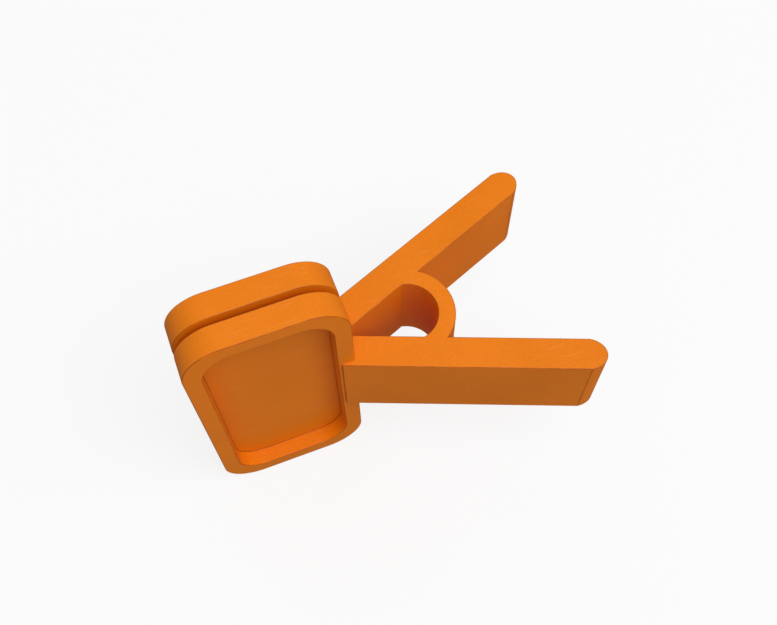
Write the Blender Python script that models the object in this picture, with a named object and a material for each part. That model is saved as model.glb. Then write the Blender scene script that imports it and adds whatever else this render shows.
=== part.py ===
"""One-piece hobby spring clamp: two flat jaws, two handle arms and a C-shaped spring bow.

Squeezing the two arms flexes the bow and swings the jaws apart; let go, the bow closes them again.
X runs along the clamp, from the jaws' free ends to the handle tips. Y is the squeeze direction, with
the front lever at -Y and the rear lever at +Y. Z is up. The origin is on the plane that the jaws
stand on, under the middle of the clamp. All sizes are in metres.
"""

import math

import bmesh
import bpy
from mathutils import Vector

MM = 0.001

# Jaws: two equal plates that face each other across the grip gap.
JAW_LENGTH = 25.0 * MM
JAW_HEIGHT = 50.0 * MM
JAW_THICKNESS = 4.25 * MM
JAW_CORNER_RADIUS = 6.5 * MM
GRIP_GAP = 1.0 * MM

# Pocket: the shallow recess in each jaw's outer face, with an even rim all round.
POCKET_RIM = 2.75 * MM
POCKET_DEPTH = 2.8 * MM
POCKET_CORNER_RADIUS = 5.0 * MM

# Arms: two straight bars that splay away from each other behind the jaws.
ARM_SPLAY = math.radians(22.0)
ARM_THICKNESS = 5.2 * MM
ARM_HEIGHT = 15.0 * MM
ARM_GAP = 0.32 * MM  # between the arms' inner faces, at their buried ends
ARM_REACH = 38.1 * MM  # along the arm, from its buried end to the centre of its round tip
POCKET_LAND = 0.22 * MM  # the strip of rim left on the jaw's face between the pocket and the arm's notch

# Spring bow: part of a ring that joins the arms' inner faces and opens towards the jaws.
BOW_INNER_RADIUS = 5.0 * MM
BOW_WALL = 2.75 * MM
BOW_SINK = 0.88 * MM  # how far the bow's inner circle would dip into each arm

# Where two pieces meet, their faces stay this far apart.
JOIN_GAP = 0.3 * MM

# How finely round stretches are divided, and how far a cutter runs past what it cuts.
CORNER_STEPS = 10
TIP_STEPS = 20
BOW_STEPS = 36
CUTTER_OVERRUN = 5.0 * MM
SHARP_ANGLE = math.radians(30.0)

# The plastic's look.
ORANGE = (0.83, 0.21, 0.02, 1.0)
PLASTIC_ROUGHNESS = 0.45
PLASTIC_METALLIC = 0.0

FRONT = -1
REAR = 1

# Directions of the rear arm. The front arm mirrors them across the middle plane, y = 0.
ALONG = Vector((math.cos(ARM_SPLAY), math.sin(ARM_SPLAY)))
OUTWARD = Vector((-math.sin(ARM_SPLAY), math.cos(ARM_SPLAY)))

JAW_OUTER_Y = GRIP_GAP / 2 + JAW_THICKNESS
MIDDLE_Z = JAW_HEIGHT / 2
TIP_RADIUS = ARM_THICKNESS / 2


def arm_start_behind_jaws():
    """How far behind the jaws' rear end the inner corner of an arm's buried end is; negative is inside.

    The notch's end wall meets the jaw's outer face one land behind the pocket and runs square to the
    arm. The arm's end stands one join gap off that wall.
    """
    wall_on_face = Vector((POCKET_LAND - POCKET_RIM, JAW_OUTER_Y))
    end_on_face = wall_on_face + ALONG * JOIN_GAP
    return end_on_face.x + (end_on_face.y - ARM_GAP / 2) * math.tan(ARM_SPLAY)


# Stations along X, worked out so that the clamp's middle is at x = 0.
TIP_CENTRE_BEHIND_JAWS = arm_start_behind_jaws() + (ALONG * ARM_REACH + OUTWARD * TIP_RADIUS).x
OVERALL_LENGTH = JAW_LENGTH + TIP_CENTRE_BEHIND_JAWS + TIP_RADIUS
JAW_FREE_X = -OVERALL_LENGTH / 2
JAW_REAR_X = JAW_FREE_X + JAW_LENGTH
ARM_START = Vector((JAW_REAR_X + arm_start_behind_jaws(), ARM_GAP / 2))

# The bow's centre lies where its distance from each arm's inner face leaves the wanted sink.
BOW_OUTER_RADIUS = BOW_INNER_RADIUS + BOW_WALL
CENTRE_TO_ARM = BOW_INNER_RADIUS - BOW_SINK
BOW_CENTRE_X = ARM_START.x + (CENTRE_TO_ARM - ARM_START.y * math.cos(ARM_SPLAY)) / math.sin(ARM_SPLAY)


def arm_point(side, along, outward):
    """A point in plan, measured from the inner corner of the arm's buried end."""
    point = ARM_START + ALONG * along + OUTWARD * outward
    return Vector((point.x, side * point.y))


def ring_angle(radius, distance):
    """The angle from +X at which a circle about the bow's centre meets a face along the rear arm
    that passes the centre at this distance."""
    return math.pi / 2 + ARM_SPLAY - math.acos(distance / radius)


def squeeze_axis_x():
    """The levers turn about the centroid of the bow's middle line, as on any curved flexure."""
    middle_radius = BOW_INNER_RADIUS + BOW_WALL / 2
    half_angle = ring_angle(middle_radius, CENTRE_TO_ARM)
    return BOW_CENTRE_X + middle_radius * math.sin(half_angle) / half_angle


def clear_scene():
    for old in list(bpy.data.objects):
        bpy.data.objects.remove(old, do_unlink=True)


def swept_solid(name, outline, sweep):
    """A closed prism: the outline's points as one face, swept along a vector."""
    shape = bmesh.new()
    base = shape.faces.new([shape.verts.new(point) for point in outline])
    swept = bmesh.ops.extrude_face_region(shape, geom=[base])["geom"]
    top = [item for item in swept if isinstance(item, bmesh.types.BMVert)]
    bmesh.ops.translate(shape, verts=top, vec=sweep)
    bmesh.ops.recalc_face_normals(shape, faces=shape.faces)
    mesh = bpy.data.meshes.new(name)
    shape.to_mesh(mesh)
    shape.free()
    solid = bpy.data.objects.new(name, mesh)
    bpy.context.scene.collection.objects.link(solid)
    return solid


def upright_bar(name, plan, height):
    """A prism with this outline in plan, centred on the clamp's middle height."""
    low = MIDDLE_Z - height / 2
    outline = [Vector((point.x, point.y, low)) for point in plan]
    return swept_solid(name, outline, Vector((0, 0, height)))


def jaw_slab(name, side, inset, corner_radius, y_from, y_to):
    """A plate with rounded corners, as large as the jaw less an even inset."""
    half_length = JAW_LENGTH / 2 - inset
    half_height = JAW_HEIGHT / 2 - inset
    radius = min(corner_radius, half_length, half_height)
    middle = Vector((JAW_FREE_X + JAW_LENGTH / 2, side * y_from, MIDDLE_Z))
    outline = []
    for right, top, start in ((1, 1, 0), (-1, 1, 1), (-1, -1, 2), (1, -1, 3)):
        for step in range(CORNER_STEPS + 1):
            angle = (start + step / CORNER_STEPS) * math.pi / 2
            x = right * (half_length - radius) + radius * math.cos(angle)
            z = top * (half_height - radius) + radius * math.sin(angle)
            outline.append(middle + Vector((x, 0, z)))
    return swept_solid(name, outline, Vector((0, side * (y_to - y_from), 0)))


def notch_cutter(side):
    """The space an arm takes in its jaw, grown by the join gap and open to the outside."""
    near = -JOIN_GAP
    back = JAW_LENGTH
    outer = JAW_THICKNESS + ARM_THICKNESS + CUTTER_OVERRUN
    corners = ((near, near), (back, near), (back, outer), (near, outer))
    plan = [arm_point(side, along, outward) for along, outward in corners]
    return upright_bar("notch_cutter", plan, ARM_HEIGHT + 2 * JOIN_GAP)


def cut(piece, cutter):
    """Takes the cutter away from the piece for good, and removes the cutter."""
    boolean = piece.modifiers.new("cut", "BOOLEAN")
    boolean.operation = "DIFFERENCE"
    boolean.solver = "EXACT"
    boolean.object = cutter
    bpy.context.view_layer.update()
    graph = bpy.context.evaluated_depsgraph_get()
    uncut = piece.data
    piece.data = bpy.data.meshes.new_from_object(piece.evaluated_get(graph))
    piece.data.name = piece.name
    piece.modifiers.clear()
    bpy.data.meshes.remove(uncut)
    bpy.data.objects.remove(cutter, do_unlink=True)


def make_jaw(name, side):
    """Jaw: a rounded plate with a pocket in its outer face and a notch that takes the arm's end."""
    jaw = jaw_slab(name, side, 0, JAW_CORNER_RADIUS, GRIP_GAP / 2, JAW_OUTER_Y)
    floor_y = JAW_OUTER_Y - POCKET_DEPTH
    beyond_y = JAW_OUTER_Y + CUTTER_OVERRUN
    pocket = jaw_slab("pocket_cutter", side, POCKET_RIM, POCKET_CORNER_RADIUS, floor_y, beyond_y)
    cut(jaw, pocket)
    cut(jaw, notch_cutter(side))
    return jaw


def make_arm(name, side):
    """Arm: a straight bar with a square buried end and a half-round tip."""
    plan = [arm_point(side, 0, ARM_THICKNESS), arm_point(side, 0, 0)]
    for step in range(TIP_STEPS + 1):
        angle = math.pi * step / TIP_STEPS
        along = ARM_REACH + TIP_RADIUS * math.sin(angle)
        outward = TIP_RADIUS - TIP_RADIUS * math.cos(angle)
        plan.append(arm_point(side, along, outward))
    return upright_bar(name, plan, ARM_HEIGHT)


def make_bow(name):
    """Spring bow: a length of ring whose flat ends lie along the arms' inner faces."""
    to_end = CENTRE_TO_ARM - JOIN_GAP
    plan = []
    for radius, sweep in ((BOW_OUTER_RADIUS, 1), (BOW_INNER_RADIUS, -1)):
        end = ring_angle(radius, to_end)
        for step in range(BOW_STEPS + 1):
            angle = sweep * end * (2 * step / BOW_STEPS - 1)
            plan.append(Vector((BOW_CENTRE_X + radius * math.cos(angle), radius * math.sin(angle))))
    return upright_bar(name, plan, ARM_HEIGHT)


def add_axis_empty(name):
    """The line that the rear lever turns about, standing at the floor."""
    axis = bpy.data.objects.new(name, None)
    axis.location = (squeeze_axis_x(), 0, 0)
    axis.empty_display_type = "SINGLE_ARROW"
    axis.empty_display_size = JAW_HEIGHT
    bpy.context.scene.collection.objects.link(axis)
    return axis


def finish_piece(piece, axis, moves):
    """Puts the piece's origin on the squeeze axis, and gives it its shading and its material."""
    for vertex in piece.data.vertices:
        vertex.co -= axis.location
    if moves:
        piece.parent = axis
    else:
        piece.location = axis.location
    piece.data.shade_smooth()
    piece.data.set_sharp_from_angle(angle=SHARP_ANGLE)
    plastic = bpy.data.materials.new(piece.name + "_plastic")
    plastic.use_nodes = True
    shader = plastic.node_tree.nodes["Principled BSDF"]
    shader.inputs["Base Color"].default_value = ORANGE
    shader.inputs["Roughness"].default_value = PLASTIC_ROUGHNESS
    shader.inputs["Metallic"].default_value = PLASTIC_METALLIC
    plastic.diffuse_color = ORANGE
    piece.data.materials.clear()
    piece.data.materials.append(plastic)


def build():
    clear_scene()
    axis = add_axis_empty("squeeze_axis")
    for piece in (make_jaw("front_jaw", FRONT), make_arm("front_arm", FRONT), make_bow("spring_bow")):
        finish_piece(piece, axis, moves=False)
    for piece in (make_jaw("rear_jaw", REAR), make_arm("rear_arm", REAR)):
        finish_piece(piece, axis, moves=True)


build()
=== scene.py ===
# %% [markdown]
# # A one-piece spring clamp in orange plastic
#
# This lesson dresses a small hobby clamp: two flat jaws, two handle arms, and a C-shaped bow that is
# the spring. Squeeze the arms and the bow flexes, which swings the jaws apart. Its size and its moving
# bodies come from a imported model, so nothing here is measured by eye. That model is plain and has knife
# edges, so each of its five parts gets a finer stand-in. The first cell loads it and keeps its outer
# box, to print beside the dressed clamp's box at the end.

# %% Load the imported clamp
import math

import bmesh
import bpy
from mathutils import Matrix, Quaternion, Vector


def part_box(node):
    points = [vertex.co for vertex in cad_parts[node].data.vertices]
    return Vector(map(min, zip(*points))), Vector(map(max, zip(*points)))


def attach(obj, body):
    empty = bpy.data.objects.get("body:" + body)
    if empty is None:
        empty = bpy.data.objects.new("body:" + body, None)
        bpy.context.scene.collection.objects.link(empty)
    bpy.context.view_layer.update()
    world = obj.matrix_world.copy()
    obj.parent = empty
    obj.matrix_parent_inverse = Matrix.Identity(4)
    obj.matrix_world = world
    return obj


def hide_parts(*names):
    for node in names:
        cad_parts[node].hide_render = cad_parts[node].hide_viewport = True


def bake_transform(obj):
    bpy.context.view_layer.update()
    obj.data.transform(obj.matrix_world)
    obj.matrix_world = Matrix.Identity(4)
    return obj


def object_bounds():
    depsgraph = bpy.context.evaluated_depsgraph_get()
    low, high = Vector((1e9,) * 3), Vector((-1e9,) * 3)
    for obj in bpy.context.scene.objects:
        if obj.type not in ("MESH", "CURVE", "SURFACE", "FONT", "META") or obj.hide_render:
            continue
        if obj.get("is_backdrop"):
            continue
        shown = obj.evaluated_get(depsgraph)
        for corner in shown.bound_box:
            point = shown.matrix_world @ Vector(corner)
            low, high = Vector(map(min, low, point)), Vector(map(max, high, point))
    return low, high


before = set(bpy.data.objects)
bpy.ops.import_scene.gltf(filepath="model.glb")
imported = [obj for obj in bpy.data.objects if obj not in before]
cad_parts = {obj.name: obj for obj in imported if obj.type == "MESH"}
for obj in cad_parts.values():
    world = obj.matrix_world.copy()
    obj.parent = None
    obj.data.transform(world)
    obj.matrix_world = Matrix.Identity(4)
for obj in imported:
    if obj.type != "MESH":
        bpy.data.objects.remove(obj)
PACKED_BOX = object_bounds()
MM = 0.001
print("outer box, mm:", [round(side / MM, 2) for side in PACKED_BOX[1] - PACKED_BOX[0]])

# %% [markdown]
# ## The sizes that the parts share
#
# The clamp is the same on both sides of the plane y = 0. Its rear half is at +Y, so points are worked
# out for the rear half, and the front half takes them with y turned round. Where a size can be read off
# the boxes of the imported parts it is, so the looks can't drift away from the model. The few that a box
# doesn't tell, such as a wall's thickness, are written down by name.

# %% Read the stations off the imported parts
FRONT, REAR = -1, 1

jaw_low, jaw_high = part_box("rear_jaw")
arm_low, arm_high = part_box("rear_arm")
bow_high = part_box("spring_bow")[1]

ARM_SPLAY = math.radians(22.0)
ARM_THICKNESS = 5.2 * MM
ARM_ALONG = Vector((math.cos(ARM_SPLAY), math.sin(ARM_SPLAY)))
ARM_OUTWARD = Vector((-math.sin(ARM_SPLAY), math.cos(ARM_SPLAY)))
ARM_START = Vector((arm_low.x + ARM_THICKNESS * math.sin(ARM_SPLAY), arm_low.y))

tip_centre = Vector((arm_high.x, arm_high.y)) - Vector((1, 1)) * ARM_THICKNESS / 2
ARM_REACH = (tip_centre - ARM_START).dot(ARM_ALONG)

BOW_INNER_RADIUS = 5.0 * MM
BOW_OUTER_RADIUS = 7.75 * MM
BOW_CENTRE = Vector((bow_high.x - BOW_OUTER_RADIUS, 0))
print(f"arm: {ARM_REACH / MM:.2f} mm from its buried end to the centre of its round tip")
bow_wall = BOW_OUTER_RADIUS - BOW_INNER_RADIUS
print(f"bow: centre at x = {BOW_CENTRE.x / MM:.2f} mm, wall {bow_wall / MM:.2f} mm")

# %% [markdown]
# ## A skin from rings of points
#
# Moulded plastic has no knife edges. Every edge has a small radius, and that radius is what catches the
# light. A Bevel modifier can add it, but it struggles where short curved steps meet long flat sides.
# Both kinds of part here can be built as a stack of rings with equal numbers of points instead, like
# the hoops of a barrel, and a soft edge is then simply a few rings close together.

# %% Helper: stretch a skin over a stack of rings
def skin_of_rings(name, rings, ends=True):
    """A mesh object whose faces join each ring of points to the next one, closed at both ends or open."""
    shape = bmesh.new()
    rows = [[shape.verts.new(point) for point in ring] for ring in rings]
    count = len(rings[0])
    for low, high in zip(rows, rows[1:]):
        for i in range(count):
            j = (i + 1) % count
            shape.faces.new((low[i], low[j], high[j], high[i]))
    if ends:
        shape.faces.new(reversed(rows[0]))
        shape.faces.new(rows[-1])
    bmesh.ops.recalc_face_normals(shape, faces=shape.faces)
    mesh = bpy.data.meshes.new(name)
    shape.to_mesh(mesh)
    shape.free()
    piece = bpy.data.objects.new(name, mesh)
    bpy.context.scene.collection.objects.link(piece)
    return piece


# %% Helper: the steps of a soft edge
EDGE_RADIUS = 0.18 * MM
EDGE_STEPS = 4


def soft_edge():
    """Pairs (inset from the side, depth below the top), from the side round to the top."""
    turns = [math.pi / 2 * step / EDGE_STEPS for step in range(EDGE_STEPS + 1)]
    return [(EDGE_RADIUS * (1 - math.cos(turn)), EDGE_RADIUS * (1 - math.sin(turn))) for turn in turns]


print("soft edge, mm:", [(round(a / MM, 3), round(b / MM, 3)) for a, b in soft_edge()])

# %% [markdown]
# ## The arms and the bow, drawn as one outline
#
# On the real clamp the arms run into the bow with no seam, and their tops are flush. If the three were
# modelled one by one, each would have its own soft edge and a groove would show where they meet. So one
# outline is drawn for all of them, seen from above, and only afterwards shared out between three parts.
#
# First comes an arm. Its round tip is part of an ellipse, which meets the flat sides at a slight angle.
# That draws the fine crease that crosses each handle near its end. Narrow strips on both sides of the
# crease will let the material find it later.

# %% Draw an arm's round tip
TIP_CREASE = math.radians(11.0)
TIP_STEPS = 40
CREASE_STRIP = 0.1 * MM


def arm_point(along, outward):
    """A point in plan on the rear arm, measured from the inner corner of its buried end."""
    return ARM_START + ARM_ALONG * along + ARM_OUTWARD * outward


def tip_curve():
    """The rear arm's round end, from its inner side to its outer side."""
    half = ARM_THICKNESS / 2
    ratio = math.tan(TIP_CREASE) / (1 - math.tan(TIP_CREASE))
    start = math.acos(ratio)
    long_radius = half / (1 - ratio)
    wide_radius = half / math.sin(start)
    stations = [0, 0.5, *range(1, TIP_STEPS), TIP_STEPS - 0.5, TIP_STEPS]
    curve = [arm_point(ARM_REACH - CREASE_STRIP, 0)]
    for station in stations:
        turn = start * (2 * station / TIP_STEPS - 1)
        ahead = long_radius * math.cos(turn) - (long_radius - half)
        curve.append(arm_point(ARM_REACH + ahead, half + wide_radius * math.sin(turn)))
    curve.append(arm_point(ARM_REACH - CREASE_STRIP, ARM_THICKNESS))
    return curve


print("tip reaches x =", round(max(point.x for point in tip_curve()) / MM, 2), "mm")

# %% [markdown]
# The other end of the arm is cut square and lies buried in the jaw. Its two upright corners are softened
# in plan. Their radius is a little larger than the soft edge's, because a ring that is moved in by the
# soft edge still needs some corner left to turn on.

# %% Draw an arm's square end
CORNER_RADIUS = 0.25 * MM


def soft_corner(along, outward, start):
    """A quarter circle in plan about this point, from the start angle, which 0 has along the arm."""
    turns = [start + math.pi / 2 * step / EDGE_STEPS for step in range(EDGE_STEPS + 1)]
    return [arm_point(along + CORNER_RADIUS * math.cos(turn), outward + CORNER_RADIUS * math.sin(turn))
            for turn in turns]


square_end = [*soft_corner(CORNER_RADIUS, ARM_THICKNESS - CORNER_RADIUS, math.pi / 2),
              *soft_corner(CORNER_RADIUS, CORNER_RADIUS, math.pi)]
print("square end:", len(square_end), "points")

# %% [markdown]
# The bow is part of a ring. Its circles run into the arms' inner faces, and the angle at which they do
# follows from the distance between the ring's centre and those faces.

# %% Draw the bow
BOW_STEPS = 72


def root_angle(radius):
    """The angle, seen from the bow's centre, at which this circle meets the rear arm's inner face."""
    distance = (ARM_START - BOW_CENTRE).dot(ARM_OUTWARD)
    return math.pi / 2 + ARM_SPLAY - math.acos(distance / radius)


def bow_arc(radius, first_side):
    """The bow's arc of this radius, from one arm to the other."""
    end = first_side * root_angle(radius)
    turns = [end * (1 - 2 * step / BOW_STEPS) for step in range(BOW_STEPS + 1)]
    return [BOW_CENTRE + Vector((math.cos(turn), math.sin(turn))) * radius for turn in turns]


INNER_ROOT = bow_arc(BOW_INNER_RADIUS, REAR)[0]
OUTER_ROOT = bow_arc(BOW_OUTER_RADIUS, REAR)[0]
for name, root in (("inner", INNER_ROOT), ("outer", OUTER_ROOT)):
    print(f"{name} circle meets the arm at {root.x / MM:.2f}, {root.y / MM:.2f} mm")

# %% [markdown]
# Now the stretches are chained. The chain starts at the bow's root inside the eye, runs round the front
# arm, follows the bow's outside, runs round the rear arm, and comes back along the inside of the bow.
# Where each stretch starts is kept, so that the outline can be shared out again.
#
# `moved_in` shrinks the closed chain by an even amount: each point slides along the line that halves
# its corner, as a mitre does.

# %% Chain the outline
rear_arm_plan = [OUTER_ROOT, *tip_curve(), *square_end, INNER_ROOT]
front_arm_plan = [Vector((point.x, -point.y)) for point in reversed(rear_arm_plan)]
outer_arc = bow_arc(BOW_OUTER_RADIUS, FRONT)
inner_arc = bow_arc(BOW_INNER_RADIUS, REAR)

OUTLINE = [*front_arm_plan, *outer_arc[1:-1], *rear_arm_plan, *inner_arc[1:-1]]
BOW_STARTS = len(front_arm_plan) - 1
REAR_ARM_STARTS = BOW_STARTS + BOW_STEPS
REAR_ARM_ENDS = REAR_ARM_STARTS + len(rear_arm_plan) - 1


def moved_in(plan, amount):
    """The outline moved inwards. It runs anticlockwise, so inwards is to its left."""
    moved = []
    for i, point in enumerate(plan):
        before = (point - plan[i - 1]).normalized()
        after = (plan[(i + 1) % len(plan)] - point).normalized()
        left = Vector((-before.y - after.y, before.x + after.x))
        moved.append(point + left * amount / (1 + before.dot(after)))
    return moved


print("outline:", len(OUTLINE), "points, shared out at", BOW_STARTS, REAR_ARM_STARTS, REAR_ARM_ENDS)

# %% [markdown]
# ## Sharing the outline out
#
# The rings go from the underside to the top, with a soft edge at both. Each part takes its own stretch
# of every ring. Where two parts meet they use the very same points, so no seam can show.

# %% Make the two arms
def upright_rings(numbers):
    """These points of the outline at each height, from the underside to the top."""
    levels = [(inset, arm_low.z + depth) for inset, depth in reversed(soft_edge())]
    levels += [(inset, arm_high.z - depth) for inset, depth in soft_edge()]
    rings = []
    for inset, z in levels:
        plan = moved_in(OUTLINE, inset)
        rings.append([Vector((plan[i].x, plan[i].y, z)) for i in numbers])
    return rings


front_arm = skin_of_rings("front_arm_handle", upright_rings(range(BOW_STARTS + 1)))
rear_arm = skin_of_rings("rear_arm_handle", upright_rings(range(REAR_ARM_STARTS, REAR_ARM_ENDS + 1)))
for arm in (front_arm, rear_arm):
    print(arm.name, "has", len(arm.data.polygons), "faces")

# %% [markdown]
# The bow bends when the clamp opens, so it needs an even grid of faces. Its top and underside are closed
# with treads that run from the outer arc to the inner one, like those of a spiral stair, and not
# with one many-sided face.

# %% Make the bow
def close_with_treads(piece, count):
    """Closes the bow's first and last ring, each of this many points, with treads."""
    shape = bmesh.new()
    shape.from_mesh(piece.data)
    shape.verts.ensure_lookup_table()
    for first in (0, len(shape.verts) - count):
        ring = shape.verts[first:first + count]
        for i in range(BOW_STEPS):
            shape.faces.new((ring[i], ring[i + 1], ring[count - 2 - i], ring[count - 1 - i]))
    bmesh.ops.recalc_face_normals(shape, faces=shape.faces)
    shape.to_mesh(piece.data)
    shape.free()


bow_numbers = [*range(BOW_STARTS, REAR_ARM_STARTS + 1), *range(REAR_ARM_ENDS, len(OUTLINE)), 0]
bow = skin_of_rings("spring_bow_loop", upright_rings(bow_numbers), ends=False)
close_with_treads(bow, len(bow_numbers))
print(bow.name, "has", len(bow.data.polygons), "faces")

# %% [markdown]
# ## The jaws
#
# Each jaw is a flat plate with round corners. A shallow pocket in its outer face keeps the plastic
# even in thickness, so that it doesn't sink as it cools. The plate is again a stack of rings, this time
# of rounded rectangles: from the flat gripping face over the soft edge, along the side, across the rim
# and down into the pocket.

# %% Draw a rounded rectangle
JAW_CORNER_RADIUS = 6.5 * MM
CORNER_STEPS = 24


def jaw_ring(inset, corner_radius, y):
    """A rounded rectangle as large as the jaw less an even inset, at this y."""
    middle = (jaw_low + jaw_high) / 2
    half_length = (jaw_high.x - jaw_low.x) / 2 - inset - corner_radius
    half_height = (jaw_high.z - jaw_low.z) / 2 - inset - corner_radius
    ring = []
    for right, top, start in ((1, 1, 0), (-1, 1, 1), (-1, -1, 2), (1, -1, 3)):
        for step in range(CORNER_STEPS + 1):
            turn = (start + step / CORNER_STEPS) * math.pi / 2
            x = right * half_length + corner_radius * math.cos(turn)
            z = top * half_height + corner_radius * math.sin(turn)
            ring.append(Vector((middle.x + x, y, middle.z + z)))
    return ring


print("one ring:", len(jaw_ring(0, JAW_CORNER_RADIUS, 0)), "points")

# %% [markdown]
# One table of (inset, corner radius, y) describes the whole plate. The pocket's mouth has the same soft
# edge as the outside. Its floor meets its walls in a fillet, which is the hollow kind of rounding: the
# same quarter circle, turned the other way.

# %% Make the two jaw plates
POCKET_RIM = 2.75 * MM
POCKET_DEPTH = 2.8 * MM
POCKET_CORNER_RADIUS = 5.0 * MM


def jaw_rings(side):
    """The jaw's rings, from its gripping face to the floor of its pocket."""
    grip_y, outer_y = jaw_low.y, jaw_high.y
    floor_y = outer_y - POCKET_DEPTH
    inwards = list(reversed(soft_edge()))
    table = [(a, JAW_CORNER_RADIUS - a, grip_y + b) for a, b in inwards]
    table += [(a, JAW_CORNER_RADIUS - a, outer_y - b) for a, b in soft_edge()]
    table += [(POCKET_RIM - a, POCKET_CORNER_RADIUS + a, outer_y - b) for a, b in inwards]
    table += [(POCKET_RIM + a, POCKET_CORNER_RADIUS - a, floor_y + b) for a, b in soft_edge()]
    return [jaw_ring(inset, radius, side * y) for inset, radius, y in table]


front_jaw = skin_of_rings("front_jaw_plate", jaw_rings(FRONT))
rear_jaw = skin_of_rings("rear_jaw_plate", jaw_rings(REAR))
print(front_jaw.name, "has", len(front_jaw.data.polygons), "faces")

# %% [markdown]
# ## Seating the arms in the jaws
#
# Each arm's square end lies in a notch in its jaw and stands a hair proud of the jaw's outer face. The
# arm is the best cutter for its own notch: a Boolean modifier takes its shape out of the jaw, so the
# two fit with no gap. The modifier's result is kept as the jaw's own mesh.

# %% Cut the notches
def take_out(piece, cutter):
    """Takes the cutter's shape out of the piece for good."""
    notch = piece.modifiers.new("notch", "BOOLEAN")
    notch.operation = "DIFFERENCE"
    notch.solver = "EXACT"
    notch.object = cutter
    graph = bpy.context.evaluated_depsgraph_get()
    graph.update()
    piece.data = bpy.data.meshes.new_from_object(piece.evaluated_get(graph))
    piece.data.name = piece.name
    piece.modifiers.clear()


for jaw, arm in ((front_jaw, front_arm), (rear_jaw, rear_arm)):
    take_out(jaw, arm)
    print(jaw.name, "has", len(jaw.data.polygons), "faces with its notch")

# %% [markdown]
# ## Smooth shading that keeps the flats flat
#
# The corners and the bow have to look round, so the faces are shaded smooth. Plain smooth shading would
# also bend the light across the big flat faces. Two things stop that: an edge that turns by more than 30
# degrees is marked sharp, and a Weighted Normal modifier lets the largest face at each point say which
# way the surface looks.

# %% Shade the parts
PARTS = (front_jaw, rear_jaw, front_arm, rear_arm, bow)
SHARP_TURN = math.radians(30.0)

for part in PARTS:
    part.data.shade_smooth()
    part.data.set_sharp_from_angle(angle=SHARP_TURN)
    flats = part.modifiers.new("flats_lead", "WEIGHTED_NORMAL")
    flats.keep_sharp = True
    flats.weight = 100
    print(part.name, "has", sum(edge.use_edge_sharp for edge in part.data.edges), "sharp edges")

# %% [markdown]
# The fine crease near each tip turns by only 11 degrees, less than a step of a soft edge does, so its
# angle can't tell it apart. Its place can: it is the upright edge that stands where a flat side ends.
# Once it is marked sharp too, the light breaks there as it does on the real handle.

# %% Mark the creases at the tips
SAME_PLACE = 0.01 * MM


def mark_tip_creases(arm, side):
    """Marks the upright edges where the flat sides meet the round tip as sharp."""
    ends = [arm_point(ARM_REACH, outward) for outward in (0, ARM_THICKNESS)]
    marked = 0
    for end in ends:
        foot = Vector((end.x, side * end.y))
        for edge in arm.data.edges:
            corners = [arm.data.vertices[i].co.xy for i in edge.vertices]
            if all((corner - foot).length < SAME_PLACE for corner in corners):
                edge.use_edge_sharp = True
                marked += 1
    return marked


for arm, side in ((front_arm, FRONT), (rear_arm, REAR)):
    print(arm.name, "has", mark_tip_creases(arm, side), "creases at its tip")

# %% [markdown]
# ## Where the edges are
#
# Hands and jaws polish a plastic clamp along its edges first, so the material needs to know where they
# are. Every point gets a number: 1 along an edge and 0 elsewhere. A point is on an edge when every face
# around it is narrow, as only the strips of the soft edges and creases are. A face's width is close to
# its area shared over half the way round it.

# %% Mark the edges
STRIP_WIDTH = 0.12 * MM


def mark_edges(piece):
    """Stores the number as a point attribute named edge, and gives back how many points have a 1."""
    shape = bmesh.new()
    shape.from_mesh(piece.data)
    narrow = {face: 2 * face.calc_area() / face.calc_perimeter() < STRIP_WIDTH for face in shape.faces}
    marks = [float(all(narrow[face] for face in vertex.link_faces)) for vertex in shape.verts]
    shape.free()
    piece.data.attributes.new("edge", "FLOAT", "POINT").data.foreach_set("value", marks)
    return int(sum(marks))


for part in PARTS:
    print(part.name, "has", mark_edges(part), "points on its edges")

# %% [markdown]
# ## The plastic
#
# All five parts are one moulding, so they share one material: a strong orange plastic with a satin skin.
# Seen close, such a skin isn't even. The mould's steel was spark-eroded, which leaves a fine grain. The
# colour drifts a little where the plastic flowed. Edges are rubbed smooth and look deeper, creases get
# painted shade that darkens them, and handling leaves faint scuffs.
#
# Each of these is a small group of nodes, built in its own cell. A short helper adds a node and links it,
# so that a cell reads like a list of what goes into what.

# %% Start the material
plastic = bpy.data.materials.new("orange_satin_plastic")
plastic.use_nodes = True
skin = plastic.node_tree.nodes["Principled BSDF"]


def add_node(kind, inputs, tree=plastic.node_tree, **settings):
    """A new node. An input that is another node's output is linked, and any other is set."""
    node = tree.nodes.new("ShaderNode" + kind)
    for name, value in settings.items():
        setattr(node, name, value)
    for name, value in inputs.items():
        if isinstance(value, bpy.types.NodeSocket):
            tree.links.new(value, node.inputs[name])
        else:
            node.inputs[name].default_value = value
    return node


def maths(operation, *values):
    """The result of a Math node."""
    return add_node("Math", dict(enumerate(values)), operation=operation).outputs[0]


place = add_node("TexCoord", {}).outputs["Object"]
print("material:", plastic.name)

# %% [markdown]
# ### Grain, flow and scuffs
#
# The patterns are Noise textures that are read at the point's own place in the clamp, in metres. All
# parts share one origin, so a pattern runs across the seams. A pattern's scale is about one over
# the size of its features: 3500 gives grain of about 0.3 mm, and 70 gives drifts of about 14 mm. Scuffs
# are the same noise squeezed from its sides until the blobs are streaks, with all but the peaks cut
# off. A second, wider noise decides where on the clamp there are any.

# %% Lay out the patterns
def noise(scale, detail, roughness=0.5, vector=place):
    """A noise pattern from 0 to 1 with features of about 1 / scale metres."""
    inputs = {"Vector": vector, "Scale": scale, "Detail": detail, "Roughness": roughness}
    return add_node("TexNoise", inputs).outputs[0]


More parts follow.
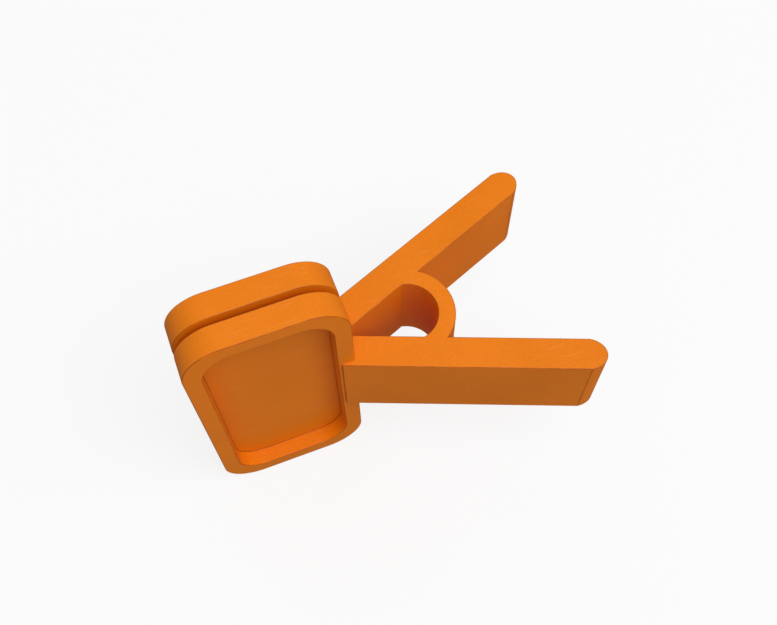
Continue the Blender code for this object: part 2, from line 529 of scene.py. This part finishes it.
def between(value, low, high, to_low=0.0, to_high=1.0):
    """The value stretched smoothly from low..high to to_low..to_high, and held at both ends."""
    inputs = {"Value": value, "From Min": low, "From Max": high, "To Min": to_low, "To Max": to_high}
    return add_node("MapRange", inputs, interpolation_type="SMOOTHSTEP").outputs["Result"]


GRAIN_SCALE, FLOW_SCALE, PATCH_SCALE = 3500.0, 70.0, 260.0
STREAK_SCALE, SCUFFED_PLACE_SCALE = 190.0, 90.0
STREAK_TURN, STREAK_SQUEEZE = (0.3, 0.5, 0.2), (1.0, 22.0, 14.0)

grain = noise(GRAIN_SCALE, 2.0, 0.6)
flow = noise(FLOW_SCALE, 3.0)
patches = noise(PATCH_SCALE, 2.0)
squeezed = add_node("Mapping", {"Vector": place, "Rotation": STREAK_TURN, "Scale": STREAK_SQUEEZE})
streaks = between(noise(STREAK_SCALE, 1.0, vector=squeezed.outputs[0]), 0.64, 0.70)
scuffed_places = between(noise(SCUFFED_PLACE_SCALE, 1.0), 0.42, 0.60)
scuffs = maths("MULTIPLY", streaks, scuffed_places)
for name, scale in (("grain", GRAIN_SCALE), ("patches", PATCH_SCALE), ("flow", FLOW_SCALE)):
    print(f"{name}: features of about {1 / scale / MM:.1f} mm")

# %% [markdown]
# ### Edges and creases
#
# The polish follows the edge numbers, broken up by the patches so that it doesn't look ruled. For the
# painted shade in the creases there is the Ambient Occlusion node: it feels a little over half a millimetre
# round the point for other surfaces, and gives less than 1 where they crowd in, which is where shade falls.

# %% Find the polish and the painted crease shade
# Painted shade: the crease darkening reaches this far from a point.
SHADE_REACH = 0.6 * MM

edge_number = add_node("Attribute", {}, attribute_name="edge").outputs["Fac"]
polish = maths("MULTIPLY", edge_number, between(patches, 0.30, 0.62, 0.55, 1.0))
openness = add_node("AmbientOcclusion", {"Distance": SHADE_REACH}, samples=8).outputs["AO"]
# Painted shade: 1 where the occlusion finds shade in a crease, 0 in the open.
painted_crease_shade = between(openness, 0.35, 0.90, 1.0, 0.0)
# Prints how far the painted crease shade reaches.
print("dirt lies where surfaces are closer than", round(SHADE_REACH / MM, 2), "mm")

# %% [markdown]
# ### Colour
#
# The base orange is nearly pure: a lot of red, a quarter as much green and almost no blue. Flow and grain
# only change its lightness, by a few hundredths each. Rubbed edges scatter less light than the grained
# skin, so they look deeper, and the creases get painted shade, a dark brown. Scuffs are a touch lighter.
# Each is laid over what is there already, like a coat of thinned paint, and its strength says how thin.

# %% Paint the colour
ORANGE = (0.835, 0.206, 0.002, 1.0)
RUBBED_ORANGE = (0.420, 0.086, 0.002, 1.0)
# Painted shade: the dark brown laid into the creases.
CREASE_SHADE_BROWN = (0.300, 0.070, 0.008, 1.0)
SCUFFED_ORANGE = (0.900, 0.330, 0.080, 1.0)
SCUFF_STRENGTH, RUB_STRENGTH, CREASE_SHADE_STRENGTH = 0.26, 0.85, 0.35


def painted(under, over, amount):
    """One colour over another. The amount is from 0 to 1."""
    return add_node("Mix", {0: amount, 6: under, 7: over}, data_type="RGBA").outputs[2]


lightness = maths("ADD", between(flow, 0.3, 0.7, 0.965, 1.035), between(grain, 0.3, 0.7, -0.045, 0.045))
tinted = add_node("HueSaturation", {"Value": lightness, "Color": ORANGE}).outputs[0]
scuffed = painted(tinted, SCUFFED_ORANGE, maths("MULTIPLY", scuffs, SCUFF_STRENGTH))
rubbed = painted(scuffed, RUBBED_ORANGE, maths("MULTIPLY", polish, RUB_STRENGTH))
# Painted shade darkens the creases here.
colour = painted(rubbed, CREASE_SHADE_BROWN, maths("MULTIPLY", painted_crease_shade, CREASE_SHADE_STRENGTH))
plastic.node_tree.links.new(colour, skin.inputs["Base Color"])
plastic.diffuse_color = ORANGE
print("base orange:", ORANGE[:3])

# %% [markdown]
# ### Gloss and relief
#
# The skin's roughness is about 0.48. Rubbing makes it smoother along the edges and on the handles'
# far ends, where fingers squeeze, and scuffs are a little smoother too.

# %% Set the gloss
HANDLED_FROM, HANDLED_FULLY = 6 * MM, 26 * MM

along_clamp = add_node("SeparateXYZ", {0: place}).outputs[0]
handled = between(along_clamp, HANDLED_FROM, HANDLED_FULLY)
grained = between(grain, 0.25, 0.75, 0.44, 0.52)
drifting = maths("ADD", grained, between(flow, 0.3, 0.7, -0.03, 0.03))
fingered = maths("SUBTRACT", drifting, maths("MULTIPLY", handled, 0.05))
smoother = maths("ADD", maths("MULTIPLY", polish, 0.12), maths("MULTIPLY", scuffs, 0.08))
plastic.node_tree.links.new(maths("SUBTRACT", fingered, smoother), skin.inputs["Roughness"])
print("fingers polish the handles from x =", round(HANDLED_FROM / MM), "mm on")

# %% [markdown]
# The grain's relief is a sixtieth of a millimetre, and under it the surface waves very slightly, as
# cooled plastic does. Relief as fine as this isn't worth a mesh: two Bump nodes, one after the other,
# only tilt the light. How strongly the skin mirrors is the same all over, so that is set on the shader
# itself. Then the five parts put the plastic on.

# %% Set the relief and dress the parts
WAVE_HEIGHT, GRAIN_HEIGHT = 0.006 * MM, 0.016 * MM
MIRROR_LEVEL = 0.25

waves = add_node("Bump", {"Height": patches, "Distance": WAVE_HEIGHT, "Strength": 1.0})
relief = add_node("Bump", {"Height": grain, "Distance": GRAIN_HEIGHT, "Strength": 1.0,
                           "Normal": waves.outputs[0]})
plastic.node_tree.links.new(relief.outputs[0], skin.inputs["Normal"])
skin.inputs["Specular IOR Level"].default_value = MIRROR_LEVEL

for part in PARTS:
    part.data.materials.clear()
    part.data.materials.append(plastic)
print("dressed:", [part.name for part in PARTS])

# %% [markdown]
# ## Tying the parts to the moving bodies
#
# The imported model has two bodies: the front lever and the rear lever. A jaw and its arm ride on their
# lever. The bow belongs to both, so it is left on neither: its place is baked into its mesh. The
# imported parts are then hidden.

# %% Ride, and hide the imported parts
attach(front_jaw, "front_lever")
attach(front_arm, "front_lever")
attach(rear_jaw, "rear_lever")
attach(rear_arm, "rear_lever")

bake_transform(bow)

for part, node in zip(PARTS, ("front_jaw", "rear_jaw", "front_arm", "rear_arm", "spring_bow")):
    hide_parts(node)
print("the bow bends across", round(2 * INNER_ROOT.y / MM, 2), "mm")

# %% [markdown]
# ## The table
#
# The clamp stands on its jaws' lower edges, on a wide sheet of white acrylic that is lit from below, as
# studios use for small things. A disc does for it, so large that its rim is never near. The sheet isn't
# allowed to light the clamp from underneath or to show in its gloss, because the clamp's sides would
# then be as bright as its top.

# %% Lay the floor
FLOOR_RADIUS = 3.0
FLOOR_SIDES = 96

floor_shape = bmesh.new()
bmesh.ops.create_circle(floor_shape, cap_ends=True, radius=FLOOR_RADIUS, segments=FLOOR_SIDES)
floor_mesh = bpy.data.meshes.new("floor")
floor_shape.to_mesh(floor_mesh)
floor_shape.free()
floor = bpy.data.objects.new("floor", floor_mesh)
floor.location.z = PACKED_BOX[0].z
floor.visible_diffuse = False
floor.visible_glossy = False
bpy.context.scene.collection.objects.link(floor)
floor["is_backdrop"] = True
print("floor at z =", round(floor.location.z / MM, 3), "mm")

# %% [markdown]
# The sheet's own light washes out most of the shadows that fall on it. Far from the clamp it shines by
# itself alone, just as bright as the backdrop, so that no line shows where the two meet. In between,
# both numbers fade with the distance from the middle.

# %% Make the floor shine
BACKDROP = 0.956
FLOOR_SHINE, FLOOR_WHITE = 0.808, 0.16
FADE_FROM, FADE_TO = 0.15, 0.9

acrylic = bpy.data.materials.new("lit_white_acrylic")
acrylic.use_nodes = True
sheet = acrylic.node_tree.nodes["Principled BSDF"]
from_middle = add_node("TexCoord", {}, tree=acrylic.node_tree).outputs["Object"]
away = add_node("VectorMath", {0: from_middle}, tree=acrylic.node_tree, operation="LENGTH").outputs["Value"]
for socket, near, far in (("Base Color", FLOOR_WHITE, 0.0), ("Emission Strength", FLOOR_SHINE, BACKDROP)):
    inputs = {"Value": away, "From Min": FADE_FROM, "From Max": FADE_TO, "To Min": near, "To Max": far}
    fade = add_node("MapRange", inputs, tree=acrylic.node_tree, interpolation_type="SMOOTHSTEP")
    acrylic.node_tree.links.new(fade.outputs["Result"], sheet.inputs[socket])
sheet.inputs["Emission Color"].default_value = (1.0, 1.0, 1.0, 1.0)
sheet.inputs["Roughness"].default_value = 0.9
sheet.inputs["Specular IOR Level"].default_value = 0.0
floor_mesh.materials.append(acrylic)
print("the floor shines with", FLOOR_SHINE, "near the clamp and", BACKDROP, "far away")

# %% [markdown]
# ## The light
#
# Three round soft boxes do the work. The key hangs high in front, the side light brightens what faces
# the handles' tips, and a weak back light keeps the far jaw from going brown. Each gets a share: how
# bright it alone makes a white card that faces it. The lamp's power follows from its share, its size
# and its distance.

# %% Hang the soft boxes
LAMP_DISTANCE, LAMP_SIZE = 1.0, 0.8
clamp_middle = (PACKED_BOX[0] + PACKED_BOX[1]) / 2


def soft_box(name, toward, share):
    """A round area light in this direction from the clamp, turned to face it."""
    lamp = bpy.data.lights.new(name, "AREA")
    lamp.shape = "DISK"
    lamp.size = LAMP_SIZE
    lamp.energy = share * math.pi ** 2 * (LAMP_DISTANCE ** 2 + (LAMP_SIZE / 2) ** 2)
    box = bpy.data.objects.new(name, lamp)
    back = Vector(toward).normalized()
    box.location = clamp_middle + back * LAMP_DISTANCE
    box.rotation_mode = "QUATERNION"
    box.rotation_quaternion = back.to_track_quat("Z", "Y")
    bpy.context.scene.collection.objects.link(box)
    print(name, "light:", round(lamp.energy, 2), "W")


soft_box("key", (0.15, -0.38, 0.91), share=0.47)
soft_box("side", (0.60, -0.40, 0.70), share=0.19)
soft_box("back", (-0.05, 0.95, 0.30), share=0.10)

# %% [markdown]
# The room around gives an even base light. What the room shows depends on who asks: the view sees a
# pale backdrop, and the clamp's gloss sees it darker, as if black flags stood round the table, which
# keeps the orange deep. The Light Path node tells them apart.
#
# The Standard view transform shows the colours as they are mixed. The film-like one would pale them.

# %% Light the room
ROOM, FLAGS = 0.41, 0.08

room = bpy.data.worlds.new("room")
room.use_nodes = True
rays = add_node("LightPath", {}, tree=room.node_tree)
flagged = add_node("Mix", {0: rays.outputs["Is Glossy Ray"], 2: ROOM, 3: FLAGS}, tree=room.node_tree)
seen = add_node("Mix", {0: rays.outputs["Is Camera Ray"], 2: flagged.outputs[0], 3: BACKDROP},
                tree=room.node_tree)
background = room.node_tree.nodes["Background"]
background.inputs["Color"].default_value = (1.0, 1.0, 1.0, 1.0)
room.node_tree.links.new(seen.outputs[0], background.inputs["Strength"])
bpy.context.scene.world = room
bpy.context.scene.view_settings.view_transform = "Standard"
print("room:", ROOM, "flags:", FLAGS, "backdrop:", BACKDROP)

# %% [markdown]
# ## The camera
#
# The view is from high in front, a little to the left, and close, which makes the near handle look
# longer. The camera looks at a point close to the clamp's middle and is tilted by a degree.

# %% Place the camera
AZIMUTH, ELEVATION, TILT = math.radians(-19.573), math.radians(62.588), math.radians(-1.42)
CAMERA_DISTANCE = 156.66 * MM
FOCAL_LENGTH, SENSOR_WIDTH = 44.6, 36.0
AIM_FROM_MIDDLE = Vector((2.73, 3.57, 2.22)) * MM

back = Vector((math.sin(AZIMUTH) * math.cos(ELEVATION), -math.cos(AZIMUTH) * math.cos(ELEVATION),
               math.sin(ELEVATION)))
lens = bpy.data.cameras.new("camera")
lens.lens = FOCAL_LENGTH
lens.sensor_width = SENSOR_WIDTH
lens.clip_start, lens.clip_end = 0.01, 20.0
camera = bpy.data.objects.new("camera", lens)
camera.location = clamp_middle + AIM_FROM_MIDDLE + back * CAMERA_DISTANCE
camera.rotation_mode = "QUATERNION"
camera.rotation_quaternion = back.to_track_quat("Z", "Y") @ Quaternion((0, 0, 1), TILT)
bpy.context.scene.collection.objects.link(camera)
bpy.context.scene.camera = camera
print("camera at, mm:", [round(value / MM, 1) for value in camera.location])

# %% [markdown]
# ## The two boxes
#
# The dressed clamp has to be as large as the imported one. Both boxes are printed side by side.

# %% Print the boxes
dressed_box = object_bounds()
for name, (low, high) in (("packed", PACKED_BOX), ("dressed", dressed_box)):
    print(name, "box, mm:", [round(side / MM, 2) for side in high - low])
